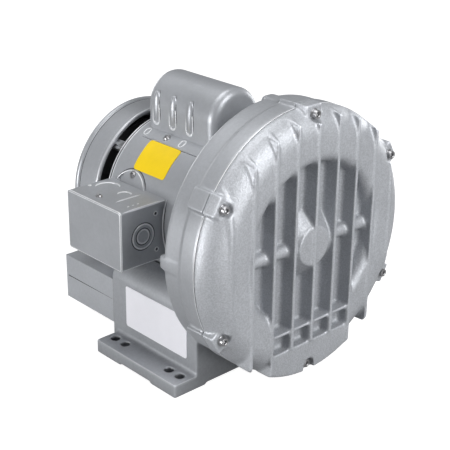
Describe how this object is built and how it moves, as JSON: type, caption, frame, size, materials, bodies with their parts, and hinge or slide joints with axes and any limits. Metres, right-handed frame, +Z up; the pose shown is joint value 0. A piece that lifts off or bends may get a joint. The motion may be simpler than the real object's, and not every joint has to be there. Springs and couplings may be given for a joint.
{
  "type": "side channel blower",
  "caption": "Foot-mounted side channel blower: ribbed round cover, fan-cooled motor with capacitor hump and conduit box, silencer box with threaded ports below.",
  "frame": {"origin": "on the underside of the foot pads, at the centre of the bolt pattern", "axes": "+Z up, -Y towards the ribbed cover, +Y towards the fan and the ports, +X to the right when facing the cover; the shaft lies along Y at z = 0.133 m"},
  "size_m": [0.2366, 0.2562, 0.2545],
  "materials": {
    "cast_silver": "blasted cast aluminium sprayed silver grey",
    "cast_grey": "smooth grey paint on cast aluminium",
    "sheet_grey": "satin grey paint on sheet steel",
    "zinc_steel": "bright zinc plated",
    "bearing_steel": "ground and polished",
    "lamination": "varnished steel sheets",
    "copper": "enamelled copper wire",
    "machined_aluminium": "bare machined casting",
    "dark_rubber": "matt black",
    "black_plastic": "matt black",
    "capacitor_can": "bright drawn can",
    "gasket_paper": "matt fibre sheet",
    "foam": "open cell foam",
    "white_sticker": "blank white film",
    "yellow_sticker": "blank yellow film"
  },
  "bodies": {
    "frame": {"channel_cover": "cast_silver", "blower_housing": "cast_grey", "cover_screws": "zinc_steel", "shaft_seal": "dark_rubber", "front_bearing_outer": "bearing_steel", "rear_bearing_outer": "bearing_steel", "motor_shell": "sheet_grey", "stator_core": "lamination", "stator_windings": "copper", "rear_end_shield": "machined_aluminium", "through_bolts": "zinc_steel", "preload_washer": "zinc_steel", "fan_shroud": "sheet_grey", "shroud_screws": "zinc_steel", "silencer_gasket": "gasket_paper", "silencer_lower_shell": "cast_grey", "silencer_upper_shell": "cast_grey", "port_plate": "cast_grey", "silencer_tubes": "zinc_steel", "silencer_foam": "foam", "silencer_screws": "zinc_steel", "conduit_box": "sheet_grey", "conduit_lid": "sheet_grey", "conduit_lid_screw": "zinc_steel", "capacitor_cover": "sheet_grey", "run_capacitor": "capacitor_can", "capacitor_cradle": "black_plastic", "capacitor_cover_screws": "zinc_steel", "conduit_box_screws": "zinc_steel", "rating_plate": "white_sticker", "shell_sticker": "yellow_sticker"},
    "rotor": {"motor_shaft": "bearing_steel", "rotor_core": "lamination", "impeller": "machined_aluminium", "impeller_key": "bearing_steel", "impeller_washer": "zinc_steel", "impeller_screw": "zinc_steel", "front_bearing_inner": "bearing_steel", "rear_bearing_inner": "bearing_steel", "cooling_fan": "black_plastic", "fan_clip": "zinc_steel"},
    "front_balls": {"front_ball_cage": "bearing_steel"},
    "rear_balls": {"rear_ball_cage": "bearing_steel"}
  },
  "joints": [
    {"name": "rotor_spin", "type": "hinge", "parent": "frame", "child": "rotor", "pos_m": [0, 0, 0.133], "axis": [0, 1, 0], "continuous": true},
    {"name": "front_cage_spin", "type": "hinge", "parent": "frame", "child": "front_balls", "pos_m": [0, -0.044, 0.133], "axis": [0, 1, 0], "continuous": true},
    {"name": "rear_cage_spin", "type": "hinge", "parent": "frame", "child": "rear_balls", "pos_m": [0, 0.0778, 0.133], "axis": [0, 1, 0], "continuous": true}
  ],
  "couplings": [
    {"joint": "front_cage_spin", "follows": "rotor_spin", "ratio": 0.3842},
    {"joint": "rear_cage_spin", "follows": "rotor_spin", "ratio": 0.3842}
  ]
}
